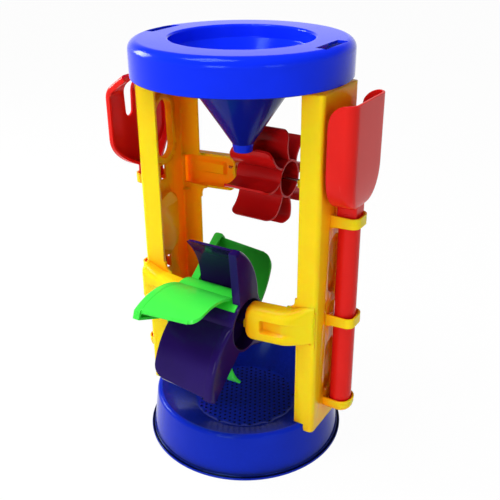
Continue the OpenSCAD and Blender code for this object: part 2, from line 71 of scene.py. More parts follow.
# polypropylene, injection moulded: the eye gets a deep even colour under a soft gloss, faint flow clouds
# where the melt cooled unevenly, a fine orange-peel skin, a few dull handling scuffs, soft edges, painted
# shade: a deeper colour painted into hollows and on faces that look down (in the yellow an orange that
# stands in for light bounced from wall to wall), and in the paler colours a glow through thin walls
plasticLooks = {
    # hopper: painted shade on faces that look down, such as the cone's outside; no painted shade in its
    # hollows
    "hopperBluePolypropylene": {
        "color": "#0e2df0", "deep": "#0b27dc", "rough": 0.15, "gloss": 0.13, "sheen": (0.4, 0.75, 1, 1),
        "hollow": "#0c1478", "hollowMm": 20, "hollowAt": (-1, 0), "paintedUnderShadeAt": (-0.4, -0.04),
        "glow": 0.0, "glowTint": (0.3, 0.4, 1.0), "glowMm": 1.0},
    # base: a near-black painted shade over the dish, where the hopper and wheels above keep light off it
    "baseBluePolypropylene": {
        "color": "#0e27b4", "deep": "#0b20a0", "rough": 0.13, "gloss": 0.12, "sheen": (0.4, 0.75, 1, 1),
        "hollow": "#03061f", "hollowMm": 200, "hollowAt": (0.82, 1.0), "alone": True,
        "glow": 0.0, "glowTint": (0.3, 0.4, 1.0), "glowMm": 1.0},
    # yellow: orange painted into hollows, standing in for light bounced between the yellow walls
    "yellowPolypropylene": {
        "color": "#fcd81c", "deep": "#f8cc14", "rough": 0.22, "gloss": 0.09, "edgeMm": 1.1,
        "hollow": "#ff960c", "hollowMm": 90, "hollowAt": (0.5, 0.9),
        "glow": 0.9, "glowTint": (1.0, 0.36, 0.03), "glowMm": 6.0},
    # reds, purple and green: a darker painted shade in their hollows
    "toolRedPolypropylene": {
        "color": "#dc1f18", "deep": "#cf1813", "rough": 0.20, "gloss": 0.12,
        "hollow": "#c41010", "hollowMm": 50, "hollowAt": (0.4, 0.9),
        "glow": 0.2, "glowTint": (1.0, 0.12, 0.06), "glowMm": 3.0},
    "wheelRedPolypropylene": {
        "color": "#d01815", "deep": "#bc1214", "rough": 0.20, "gloss": 0.12,
        "hollow": "#b01012", "hollowMm": 70, "hollowAt": (0.4, 0.9),
        "glow": 0.2, "glowTint": (1.0, 0.12, 0.06), "glowMm": 3.0},
    "purplePolypropylene": {
        "color": "#25115e", "deep": "#1c0b4a", "rough": 0.12, "gloss": 0.10, "edgeMm": 0.8,
        "hollow": "#1e0c44", "hollowMm": 60, "hollowAt": (0.5, 0.92),
        "glow": 0.0, "glowTint": (0.6, 0.3, 1.0), "glowMm": 0.8},
    "greenPolypropylene": {
        "color": "#45dc4a", "deep": "#3ad042", "rough": 0.20, "gloss": 0.12, "edgeMm": 0.8,
        "hollow": "#30cc36", "hollowMm": 40, "hollowAt": (0.4, 0.9),
        "glow": 0.3, "glowTint": (0.4, 1.0, 0.35), "glowMm": 3.0},
}
# what a look has unless it says otherwise: hardly a soft edge, painted hollow shade from neighbours too, no
# painted shade on undersides, and a white sheen
plainLook = {"edgeMm": 0.02, "alone": False, "paintedUnderShadeAt": (-3, -2), "sheen": (1, 1, 1, 1)}
plasticGrain = {"ior": 1.49, "cloudMm": 38, "cloudAt": (0.3, 0.7), "cloudRough": 0.05,
                "skinMm": 0.9, "skinDepth": 0.02, "skinRiseMm": 0.2,
                "scuffMm": 7, "scuffAt": (0.62, 0.78), "scuffRough": 0.16, "scuffStretch": (1.0, 1.0, 0.22),
                "scuffTurn": (0.4, 0.3, 0.0)}


def mouldedPlastic(name):
    look, grain = {**plainLook, **plasticLooks[name]}, plasticGrain
    made, tree = newMaterial(name)
    place = addNode(tree, "ShaderNodeTexCoord")
    clouds = addNode(tree, "ShaderNodeTexNoise",
                     {"Scale": 1 / (grain["cloudMm"] * mm), "Detail": 3.0, "Roughness": 0.55},
                     {"Vector": (place, "Object")})
    tint = addNode(tree, "ShaderNodeMix", {"data_type": "RGBA", 6: hexColor(look["deep"]),
                                           7: hexColor(look["color"])}, {0: (clouds, "Fac")})
    skin = addNode(tree, "ShaderNodeTexNoise",      # drawn coarser than the real skin so that it shows
                   {"Scale": 1 / (grain["skinMm"] * mm), "Detail": 2.0}, {"Vector": (place, "Object")})
    soft = addNode(tree, "ShaderNodeBevel", {"samples": 4, "Radius": look["edgeMm"] * mm})
    bump = addNode(tree, "ShaderNodeBump",
                   {"Strength": grain["skinDepth"], "Distance": grain["skinRiseMm"] * mm},
                   {"Height": (skin, "Fac"), "Normal": (soft, "Normal")})
    # painted shade: the shade colour is mixed in where ambient occlusion finds the surface hidden and where
    # it looks down
    exposed = addNode(tree, "ShaderNodeAmbientOcclusion",
                      {"samples": 6, "only_local": look["alone"], "Distance": look["hollowMm"] * mm})
    bounced = addNode(tree, "ShaderNodeMapRange",
                      {"From Min": look["hollowAt"][0], "From Max": look["hollowAt"][1]},
                      {"Value": (exposed, "AO")})
    lie = addNode(tree, "ShaderNodeNewGeometry")
    lean = addNode(tree, "ShaderNodeSeparateXYZ", {}, {"Vector": (lie, "Normal")})
    under = addNode(tree, "ShaderNodeMapRange",
                    {"From Min": look["paintedUnderShadeAt"][0], "From Max": look["paintedUnderShadeAt"][1]}, {"Value": (lean, "Z")})
    lit = addNode(tree, "ShaderNodeMath", {"operation": "MULTIPLY"},
                  {0: (bounced, "Result"), 1: (under, "Result")})
    shade = addNode(tree, "ShaderNodeMix", {"data_type": "RGBA", 6: hexColor(look["hollow"])},
                    {0: (lit, "Value"), 7: (tint, 2)})
    stretched = addNode(tree, "ShaderNodeMapping",
                        {"Scale": grain["scuffStretch"], "Rotation": grain["scuffTurn"]},
                        {"Vector": (place, "Object")})
    scuffs = addNode(tree, "ShaderNodeTexNoise",
                     {"Scale": 1 / (grain["scuffMm"] * mm), "Detail": 6.0, "Roughness": 0.7},
                     {"Vector": (stretched, "Vector")})
    worn = addNode(tree, "ShaderNodeMapRange",
                   {"From Min": grain["scuffAt"][0], "From Max": grain["scuffAt"][1],
                    "To Min": 0.0, "To Max": grain["scuffRough"]}, {"Value": (scuffs, "Fac")})
    even = addNode(tree, "ShaderNodeMapRange",
                   {"From Min": grain["cloudAt"][0], "From Max": grain["cloudAt"][1],
                    "To Min": look["rough"] - grain["cloudRough"] / 2,
                    "To Max": look["rough"] + grain["cloudRough"] / 2}, {"Value": (clouds, "Fac")})
    rough = addNode(tree, "ShaderNodeMath", {"operation": "ADD"}, {0: (even, "Result"), 1: (worn, "Result")})
    shader = addNode(tree, "ShaderNodeBsdfPrincipled",
                     {"IOR": grain["ior"], "Specular IOR Level": look["gloss"],
                      "Specular Tint": look["sheen"], "Subsurface Weight": look["glow"],
                      "Subsurface Radius": look["glowTint"], "Subsurface Scale": look["glowMm"] * mm},
                     {"Base Color": (shade, 2), "Roughness": (rough, "Value"), "Normal": (bump, "Normal")})
    addNode(tree, "ShaderNodeOutputMaterial", {}, {"Surface": (shader, "BSDF")})
    return made


# steel rod, drawn: fine lines along the rod stretch its highlights
steelLook = {"color": "#c9c8c4", "dark": "#a5a4a0", "rough": 0.24, "lineMm": 0.35,
             "stretch": (0.02, 1.0, 1.0), "lineDepth": 0.15, "lineRiseMm": 0.05}


def drawnSteel(name):
    made, tree = newMaterial(name)
    place = addNode(tree, "ShaderNodeTexCoord")
    along = addNode(tree, "ShaderNodeMapping", {"Scale": steelLook["stretch"]},
                    {"Vector": (place, "Object")})
    lines = addNode(tree, "ShaderNodeTexNoise", {"Scale": 1 / (steelLook["lineMm"] * mm), "Detail": 4.0},
                    {"Vector": (along, "Vector")})
    tint = addNode(tree, "ShaderNodeMix", {"data_type": "RGBA", 6: hexColor(steelLook["dark"]),
                                           7: hexColor(steelLook["color"])}, {0: (lines, "Fac")})
    bump = addNode(tree, "ShaderNodeBump",
                   {"Strength": steelLook["lineDepth"], "Distance": steelLook["lineRiseMm"] * mm},
                   {"Height": (lines, "Fac")})
    shader = addNode(tree, "ShaderNodeBsdfPrincipled", {"Metallic": 1.0, "Roughness": steelLook["rough"]},
                     {"Base Color": (tint, 2), "Normal": (bump, "Normal")})
    addNode(tree, "ShaderNodeOutputMaterial", {}, {"Surface": (shader, "BSDF")})
    return made


finishes = {name: mouldedPlastic(name) for name in plasticLooks}
finishes["drawnSteel"] = drawnSteel("drawnSteel")
print("materials made:", len(finishes))

# for every mesh: the angles in degrees past which an edge stays sharp, gets a live bevel or is rounded in a
# copy, the angle below which faces count as flat, and the distances in millimetres at which points merge
meshRules = {"sharpAt": 38, "bevelAt": 35, "bevelSteps": 3, "roundAt": 32, "roundSteps": 2, "flatAt": 1.0,
             "mergeMm": 0.004, "thinMm": 0.002, "copyMergeMm": 0.02}


# a piece goes into the scene with its finish and its body; edges are rounded by a live
# bevel where it asks for one, and large faces rule the shading
def addPiece(mesh, name, finish, body, slot, stands=(), edgeMm=0.0):
    piece = bpy.data.objects.new(name, mesh)
    bpy.context.scene.collection.objects.link(piece)
    mesh.materials.clear()
    mesh.materials.append(finishes[finish])
    if edgeMm > 0:
        bevel = piece.modifiers.new("edges", "BEVEL")
        bevel.width, bevel.segments = edgeMm * mm, meshRules["bevelSteps"]
        bevel.limit_method, bevel.angle_limit = "ANGLE", math.radians(meshRules["bevelAt"])
    even = piece.modifiers.new("evenShade", "WEIGHTED_NORMAL")
    even.keep_sharp = True
    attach(piece, body)
    if stands:
        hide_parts(*stands)
    return piece


# quads of a grid of rows by columns; a closed direction joins its last line to its first
def gridFaces(rows, columns, closeRows=False, closeColumns=False):
    index = np.arange(rows * columns).reshape(rows, columns)
    below, beside = np.roll(index, -1, 0), np.roll(index, -1, 1)
    quads = np.stack([index, beside, np.roll(below, -1, 1), below], -1)
    quads = quads[: rows if closeRows else rows - 1, : columns if closeColumns else columns - 1]
    return quads.reshape(-1, 4)


# closed shell: an outer and an inner grid of the same shape, joined round their four sides
def shellPart(outer, inner):
    rows, columns = outer.shape[:2]
    count = rows * columns
    index = np.arange(count).reshape(rows, columns)
    side = np.concatenate([index[0, :-1], index[:-1, -1], index[-1, :0:-1], index[:0:-1, 0]])
    ahead = np.roll(side, -1)
    quads = gridFaces(rows, columns)
    rim = np.stack([ahead, side, side + count, ahead + count], 1)
    faces = np.concatenate([quads, quads[:, ::-1] + count, rim])
    return np.concatenate([outer.reshape(-1, 3), inner.reshape(-1, 3)]), faces.tolist()


# closed loops of points, one per row, skinned in order and capped at both ends
def loftPart(loops):
    rows, columns = loops.shape[:2]
    caps = [list(range(columns))[::-1], list(range((rows - 1) * columns, rows * columns))]
    return loops.reshape(-1, 3), gridFaces(rows, columns, closeColumns=True).tolist() + caps


# an open profile of radius and height carried round an upright axis; points at radius 0 close on the axis
def turnedPart(profile, count, axis=(0.0, 0.0)):
    angle = np.linspace(0, 2 * np.pi, count, endpoint=False)[:, None]
    radius, height = profile[None, :, 0], profile[None, :, 1]
    points = np.stack([axis[0] + radius * np.cos(angle), axis[1] + radius * np.sin(angle),
                       height + 0 * angle], -1)
    return points.reshape(-1, 3), gridFaces(count, len(profile), closeRows=True).tolist()


# smooth shading, but for edges sharper than an angle in degrees
def smoothShade(mesh, sharpAt):
    mesh.polygons.foreach_set("use_smooth", np.ones(len(mesh.polygons), bool))
    mesh.set_sharp_from_angle(angle=math.radians(sharpAt))


# parts in millimetres become one mesh: doubles merged, faces turned outwards, smooth but for real edges
def solidMesh(name, parts, mirror=1, sharpAt=meshRules["sharpAt"]):
    sizes = np.cumsum([0] + [len(points) for points, _ in parts])
    points = np.concatenate([points for points, _ in parts]) * (mirror, 1, 1) * mm
    faces = [[i + start for i in face] for (_, part), start in zip(parts, sizes) for face in part]
    mesh = bpy.data.meshes.new(name)
    mesh.from_pydata(points.tolist(), [], faces)
    work = bmesh.new()
    work.from_mesh(mesh)
    bmesh.ops.remove_doubles(work, verts=work.verts, dist=meshRules["mergeMm"] * mm)
    bmesh.ops.dissolve_degenerate(work, edges=work.edges, dist=meshRules["thinMm"] * mm)
    bmesh.ops.recalc_face_normals(work, faces=work.faces)
    work.to_mesh(mesh)
    work.free()
    smoothShade(mesh, sharpAt)
    return mesh


# points of an arc about a centre, angles in degrees
def arcPoints(centre, radius, start, end, count=9):
    angle = np.radians(np.linspace(start, end, count))
    return np.array(centre) + radius * np.stack([np.cos(angle), np.sin(angle)], 1)


# a corner path with each corner rounded by an arc of its own radius, corners given as (x, y, radius);
# a corner that is nearly straight stays one point
def roundedPath(corners, steps=8, closed=True):
    points = np.array([c[:2] for c in corners], float)
    nearlyStraight = 1.55
    parts = []
    for i, (x, y, radius) in enumerate(corners):
        here = points[i]
        back, ahead = points[i - 1] - here, points[(i + 1) % len(points)] - here
        back, ahead = back / np.linalg.norm(back), ahead / np.linalg.norm(ahead)
        half = math.acos(np.clip(back @ ahead, -1, 1)) / 2
        if radius <= 0 or half > nearlyStraight or (not closed and i in (0, len(corners) - 1)):
            parts.append(here[None])
            continue
        reach = radius / math.tan(half)
        middle = (back + ahead) / np.linalg.norm(back + ahead)
        centre = here + middle * radius / math.sin(half)
        start, end = here + back * reach - centre, here + ahead * reach - centre
        first = math.atan2(start[1], start[0])
        turn = (math.atan2(end[1], end[0]) - first + math.pi) % (2 * math.pi) - math.pi
        angles = first + turn * np.linspace(0, 1, steps + 1)
        parts.append(centre + radius * np.stack([np.cos(angles), np.sin(angles)], 1))
    return np.concatenate(parts)


# copy of a CAD solid's loose triangles, merged
def cadCopy(node):
    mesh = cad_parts[node].data.copy()
    work = bmesh.new()
    work.from_mesh(mesh)
    bmesh.ops.remove_doubles(work, verts=work.verts, dist=meshRules["copyMergeMm"] * mm)
    return mesh, work


# a cutter is taken out of a piece and is gone afterwards
def cutAway(piece, mesh):
    cutter = bpy.data.objects.new("cutter", mesh)
    bpy.context.scene.collection.objects.link(cutter)
    step = piece.modifiers.new("cut", "BOOLEAN")
    step.operation, step.object, step.solver = "DIFFERENCE", cutter, "EXACT"
    piece.modifiers.move(len(piece.modifiers) - 1, 0)
    later = [m for m in piece.modifiers if m != step]
    for modifier in later:
        modifier.show_viewport = False
    bpy.context.view_layer.update()
    done = bpy.data.meshes.new_from_object(piece.evaluated_get(bpy.context.evaluated_depsgraph_get()))
    piece.modifiers.remove(step)
    for modifier in later:
        modifier.show_viewport = True
    piece.data = done
    bpy.data.objects.remove(cutter)
    smoothShade(done, meshRules["sharpAt"])


# hopper: one turned profile for skirt, top ring, well, cone and spout, and two tab slots through the ring
hopperShape = {
    "profile": [(100, 379, 0.9), (100, 411, 8.5), (64.5, 411, 2.2), (63.8, 399, 2.5), (7.0, 315, 4),
                (7.0, 306, 0.5), (8.9, 306, 0.8), (10.2, 314.2, 2), (66.2, 398.3, 2), (66.9, 408.6, 1),
                (97.6, 408.6, 6.1), (97.6, 379, 0.6)],
    "count": 192, "slot": [(82.0, -21.0, 0.8), (92.3, -21.0, 0.8), (92.3, 21.0, 0.8), (82.0, 21.0, 0.8)],
    "slotFrom": 404.0, "slotTo": 416.0,
}
ring = roundedPath(hopperShape["profile"])
hopperTurned = turnedPart(np.concatenate([ring, ring[:1]]), hopperShape["count"])
hopper = addPiece(solidMesh("hopperTurned", [hopperTurned]), "hopper_moulding", "hopperBluePolypropylene",
                  "frame", "blue_hopper", ["hopper"])
slotLoop = roundedPath(hopperShape["slot"], 3)
slotSpan = (hopperShape["slotFrom"], hopperShape["slotTo"])
slotRows = np.stack([np.c_[slotLoop, np.full(len(slotLoop), z)] for z in slotSpan])
for side in (1, -1):
    cutAway(hopper, solidMesh("slotCutter", [loftPart(slotRows)], side))
print("hopper turned")

# base: foot flange, tapered wall, rolled rim and dish in one turned profile, with the sieve floor inside it
baseShape = {"flange": (103.2, 2.6), "flangeRound": 0.9, "foot": 99.9, "footRound": 1.6, "underRound": 0.5,
             "rim": (90.75, 43.3), "rimRound": 4.0, "rimFrom": 5, "wall": 2.4, "sieve": (55.0, 28.0),
             "pitch": 6.0, "hole": 3.2, "count": 192, "sharpAt": 30}


# from the sieve's edge up the dish, over the rim, down the wall, round the flange and back inside
def baseProfile(b):
    dishRun, dishRise = b["rim"][0] - b["sieve"][0], b["rim"][1] - b["sieve"][1]
    rimTo = 90 + math.degrees(math.atan2(dishRise, dishRun))
    outer = arcPoints(b["rim"], b["rimRound"], rimTo, b["rimFrom"], 17)
    inner = arcPoints(b["rim"], b["rimRound"] - b["wall"], b["rimFrom"], rimTo, 9)
    inside = b["foot"] - b["wall"]
    foot = [(*outer[-1], 0), (b["foot"], b["flange"][1], b["footRound"]), (*b["flange"], b["flangeRound"]),
            (b["flange"][0], 0, b["underRound"]), (inside, 0, b["underRound"]), (inside, b["flange"][1], 0),
            (*inner[0], 0)]
    return np.concatenate([[b["sieve"]], outer[:-1], roundedPath(foot, 5, False), inner[1:],
                           [(b["sieve"][0], b["sieve"][1] - b["wall"])]])


# plate with a lattice of square holes: the plan is filled with triangles between the rim and the holes
def sievePart(b):
    angle = np.linspace(0, 2 * np.pi, b["count"], endpoint=False)
    rim = b["sieve"][0] * np.stack([np.cos(angle), np.sin(angle)], 1)
    high = b["pitch"] * math.sin(math.pi / 3)
    rows = int(b["sieve"][0] // high)
    j, i = np.meshgrid(np.arange(-rows, rows + 1), np.arange(-rows - 1, rows + 2), indexing="ij")
    middle = np.stack([(i + 0.5 * (j % 2)) * b["pitch"], j * high], -1).reshape(-1, 2)
    middle = middle[np.hypot(*middle.T) < b["sieve"][0] - b["pitch"] / 2]
    star = b["hole"] / 2 * np.array([(1, 0), (0, 1), (-1, 0), (0, -1)])
    holes = (middle[:, None] + star).reshape(-1, 2)
    plan = np.concatenate([rim, holes])
    first = len(rim) + 4 * np.arange(len(middle))[:, None]
    walls = np.stack([first + [0, 1, 2, 3], first + [1, 2, 3, 0]], -1).reshape(-1, 2)
    around = np.arange(len(rim))
    bounds = np.concatenate([np.stack([around, np.roll(around, -1)], 1), walls])
    found = delaunay_2d_cdt([Vector(q) for q in plan], bounds.tolist(), [], 0, 1e-6)
    corners = np.array(found[2])
    flat = np.array([tuple(q) for q in found[0]])
    centre = flat[corners].mean(1)
    nearest = np.abs(centre[:, None] - middle[None]).sum(-1).min(1)
    corners = corners[nearest > b["hole"] / 2]
    count = len(flat)
    top = np.c_[flat, np.full(count, b["sieve"][1])]
    low = np.c_[flat, np.full(count, b["sieve"][1] - b["wall"])]
    sides = np.stack([walls[:, 0], walls[:, 1], walls[:, 1] + count, walls[:, 0] + count], 1)
    faces = corners.tolist() + (corners[:, ::-1] + count).tolist() + sides.tolist()
    return np.concatenate([top, low]), faces


baseParts = [turnedPart(baseProfile(baseShape), baseShape["count"]), sievePart(baseShape)]
baseMesh = solidMesh("baseTurned", baseParts, 1, baseShape["sharpAt"])
addPiece(baseMesh, "base_moulding", "baseBluePolypropylene", "frame", "blue_base", ["base_tray"])
print("base turned,", len(baseMesh.polygons), "faces")

# square neck that both tools have, and the round tapered bar below it
neckShape = {"axis": 111.5, "neckHalf": 9.5, "neckCorner": 2.5}
handleShape = {**neckShape, "foot": 63.2, "low": 10.8, "high": 10.0, "top": 269.0, "footRound": 3.0,
               "topRound": 1.0, "neckFrom": 262.0, "count": 48}


def handleParts(h, neckTop):
    bar = roundedPath([(0, h["foot"], 0), (h["low"], h["foot"], h["footRound"]),
                       (h["high"], h["top"], h["topRound"]), (0, h["top"], 0)], 6, False)
    n, r, x = h["neckHalf"], h["neckCorner"], h["axis"]
    square = roundedPath([(x - n, -n, r), (x + n, -n, r), (x + n, n, r), (x - n, n, r)], 5)
    neck = np.stack([np.c_[square, np.full(len(square), z)] for z in (h["neckFrom"], neckTop)])
    return [turnedPart(bar, h["count"], (x, 0.0)), loftPart(neck)]


# trough of a tool's head: at each height the section is a U of two sides, two rounded corners and the back;
# below the back's height its size follows a quarter ellipse down to the neck
def trough(t, inset):
    side, bend, flat = np.linspace(0, 1, 7), np.linspace(0, 1, 9), np.linspace(0, 1, 11)
    kind = np.concatenate([np.full(7, 0), np.full(8, 1), np.full(10, 2), np.full(8, 3), np.full(6, 4)])
    f = np.concatenate([side, bend[1:], flat[1:], bend[1:], side[1:]])
    theta = np.linspace(0, np.pi / 2, 15)[:, None]
    rise = np.linspace(0, 1, t["rows"])[1:, None]
    grow = np.concatenate([np.sin(theta), np.ones_like(rise)]) + 0 * f
    half = t["neckHalf"] + (t["half"] - t["neckHalf"]) * grow ** t["spread"] - inset
    out = t["axis"] + t["neckHalf"] + (t["outside"] - t["axis"] - t["neckHalf"]) * grow - inset
    within = t["axis"] - t["neckHalf"] + (t["inside"] - t["axis"] + t["neckHalf"]) * grow
    corner = np.maximum(t["neckCorner"] + (t["corner"] - t["neckCorner"]) * grow - inset, t["leastCorner"])
    run = out - corner - within
    angle = np.pi / 2 * f
    stretch = [kind == 0, kind == 1, kind == 2, kind == 3, kind == 4]
    x = np.select(stretch, [within + f * run, out - corner + corner * np.sin(angle), out,
                            out - corner + corner * np.cos(angle), out - corner - f * run])
    y = np.select(stretch, [-half, -half + corner - corner * np.cos(angle), (half - corner) * (2 * f - 1),
                            half - corner + corner * np.sin(angle), half])
    reach = np.minimum(x[-1] - within[-1], t["tip"])
    top = t["top"] - t["tip"] + np.sqrt(np.maximum(t["tip"] ** 2 - (t["tip"] - reach) ** 2, 0))
    low = t["back"] - (t["back"] - t["neckTop"] - inset) * np.cos(theta) + 0 * f
    z = np.concatenate([low, t["back"] + (top - t["back"]) * rise])
    return np.stack([x, y, z], -1)


shovelShape = {**neckShape, "inside": 102.0, "outside": 125.8, "half": 34.6, "corner": 10.0,
               "leastCorner": 0.3, "neckTop": 276.0, "back": 310.0, "top": 371.0, "tip": 18.0, "wall": 2.4,
               "spread": 1.0, "rows": 12, "edgeMm": 0.7}
scoop = shellPart(trough(shovelShape, 0), trough(shovelShape, shovelShape["wall"]))
shovelBar = handleParts(handleShape, shovelShape["neckTop"] + shovelShape["wall"])
shovelMesh = solidMesh("shovelHead", [*shovelBar, scoop])
addPiece(shovelMesh, "shovel_moulding", "toolRedPolypropylene", "shovel", "red_tools", ["shovel"],
         shovelShape["edgeMm"])
print("shovel made,", len(shovelMesh.polygons), "faces")

# rake: a shallow trough whose upper end bends over towards the column and is slit into three tines
rakeShape = {**neckShape, "inside": 119.4, "outside": 126.0, "half": 45.0, "corner": 4.0,
             "leastCorner": 0.3, "neckTop": 275.5, "back": 309.0, "top": 384.0, "tip": 1.0, "wall": 2.4,
             "spread": 1.6, "rows": 30, "bendZ": 349.0, "bendRound": 16.0, "bendTurn": 55.0,
             "slotY": 12.7, "slotRoot": 326.0, "slotLow": 5.2, "slotHigh": 7.6, "slotTop": 380.0,
             "slotThrough": (90.0, 140.0), "edgeMm": 0.7, "barEdgeMm": 0.5}


# above the bend the head's own upright becomes a path: an arc, then a straight run, with depth square to it
def bentOver(points, r):
    x, y, z = np.moveaxis(points, -1, 0)
    past = np.maximum(z - r["bendZ"], 0)
    full = math.radians(r["bendTurn"])
    turn = np.minimum(past / r["bendRound"], full)
    run = np.maximum(past - r["bendRound"] * full, 0)
    depth = r["outside"] - x
    pathX = r["outside"] - r["bendRound"] * (1 - np.cos(turn)) - run * np.sin(turn)
    pathZ = np.minimum(z, r["bendZ"]) + r["bendRound"] * np.sin(turn) + run * np.cos(turn)
    return np.stack([pathX - depth * np.cos(turn), y, pathZ - depth * np.sin(turn)], -1)


rakeSkins = [bentOver(trough(rakeShape, inset), rakeShape) for inset in (0, rakeShape["wall"])]
rakeMesh = solidMesh("rakeHead", [shellPart(*rakeSkins)], -1)
rake = addPiece(rakeMesh, "rake_head", "toolRedPolypropylene", "rake", "red_tools", ["rake"],
                rakeShape["edgeMm"])
slotArc = arcPoints((0, rakeShape["slotRoot"] + rakeShape["slotLow"]), rakeShape["slotLow"], 180, 360, 13)
slotOutline = np.concatenate([slotArc, [(rakeShape["slotHigh"], rakeShape["slotTop"]),
                                        (-rakeShape["slotHigh"], rakeShape["slotTop"])]])
for side in (1, -1):
    slotY, slotZ = slotOutline[:, 0] + side * rakeShape["slotY"], slotOutline[:, 1]
    rows = [np.c_[np.full(len(slotOutline), x), slotY, slotZ] for x in rakeShape["slotThrough"]]
    cutAway(rake, solidMesh("slotCutter", [loftPart(np.stack(rows))], -1))
rakeBar = solidMesh("rakeBar", handleParts(handleShape, rakeShape["neckTop"] + rakeShape["wall"]), -1)
addPiece(rakeBar, "rake_handle", "toolRedPolypropylene", "rake", "red_tools", (), rakeShape["barEdgeMm"])
print("rake made")

# Y and Z of the two axles
axles = {"lower": (-48.0, 153.0), "upper": (46.5, 268.5)}

# columns: the CAD channel, with its loops and cup remade as the squarer bands of the real moulding
columnShape = {
    "face": 98.2, "half": 35.0, "facePast": 0.05, "halfPast": 0.03, "sharpAt": 30,
    "flange": ([60, 78.3, 84], [60, 74.4, 84]), "flangeTop": 379, "tab": (403.0, 3.4),
    "squares": ((148, 186), (248, 288)), "squareHalf": 4.6, "squareOld": 11.8, "squareNear": 0.3,
    "webFrom": 90, "sink": 1.2, "loops": [(256.5, 266.5), (155.5, 165.5)], "loopOut": 124.6,
    "loopHalf": 13.1, "loopWall": 1.9, "loopCorner": 8.0, "loopRun": 8, "loopFlare": 2.5,
    "flareRun": 17.0, "holderEdgeMm": 0.5, "cupOut": 124.7, "cupHalf": 13.3, "cupRound": 12.0,
    "cupRows": [(9.5, 57.2), (6.0, 57.6), (3.2, 58.8), (1.2, 61.0), (0.2, 64.6), (0.0, 70.6), (2.0, 70.6),
                (2.1, 66.5), (2.6, 64.4), (4.0, 63.0)],
}


# band round a handle, seen from above a squared U; its lower edge drops towards the column by a square law
def loopPart(c, low, high):
    root, bendFrom = c["face"] - c["sink"], c["face"] + c["loopRun"]
    rise = np.linspace(0, 1, 5)[:, None]
    grids = []
    for inset in (0.0, c["loopWall"]):
        half, out, corner = c["loopHalf"] - inset, c["loopOut"] - inset, c["loopCorner"] - inset
        line = roundedPath([(root, -half, 0), (bendFrom, -half, 0), (out, -half, corner),
                            (out, half, corner), (bendFrom, half, 0), (root, half, 0)], 6, False)
        near = np.clip((line[:, 0] - c["face"]) / c["flareRun"], 0, 1)
        drop = low - c["loopFlare"] * (1 - near) ** 2
        z = drop + (high - drop) * rise
        grids.append(np.stack([line[:, 0] + 0 * rise, line[:, 1] + 0 * rise, z], -1))
    return shellPart(*grids)


# cup under a handle: a closed outline that shrinks into a rounded bottom outside and a flat floor inside
def cupPart(c):
    root = c["face"] - c["sink"]
    loops = []
    for inset, z in c["cupRows"]:
        half, out, corner = c["cupHalf"] - inset, c["cupOut"] - inset, c["cupRound"] - inset
        corners = [(root, -half, 0), (out, -half, corner), (out, half, corner), (root, half, 0)]
        line = roundedPath(corners, 10)
        loops.append(np.c_[line, np.full(len(line), z)])
    return loftPart(np.stack(loops))


# axle arm: an open tray along its own slanting line; its front rounds over at the end and sweeps back into
# the column, its upper edge climbs the column, and a groove deepens towards the end
armShape = {"slant": 8.5, "at": 46.5, "depth": 15.5, "low": -14.0, "high": 23.0, "edge": 8.0,
            "edgeShare": 0.9, "endRound": 4.5, "swell": 11.4, "climb": 7.0, "climbRun": 26.0, "rise": 3.0,
            "riseRun": 14, "wall": 2.4, "shortSweep": 10, "groove": (9.0, 17.5, 5.4), "grooveHalf": 6.2,
            "grooveSide": (1.5, 1.0), "grooveEnd": 2.5, "grooveTo": 0.62, "flatTo": 0.5, "bendShare": 0.3,
            "sideFrom": 0.8, "sideShare": 0.2, "rows": 64, "across": 61, "edgeMm": 0.4}


# 0 to 1 between start and end, by three squares less two cubes
def easeOver(value, start, end):
    f = np.clip((value - start) / (end - start), 0, 1)
    return f * f * (3 - 2 * f)


# how far a quarter circle has fallen, as a share of its radius, at a share of the way along it
def circleDrop(share):
    return 1 - np.sqrt(1 - np.clip(share, 0, 1) ** 2)


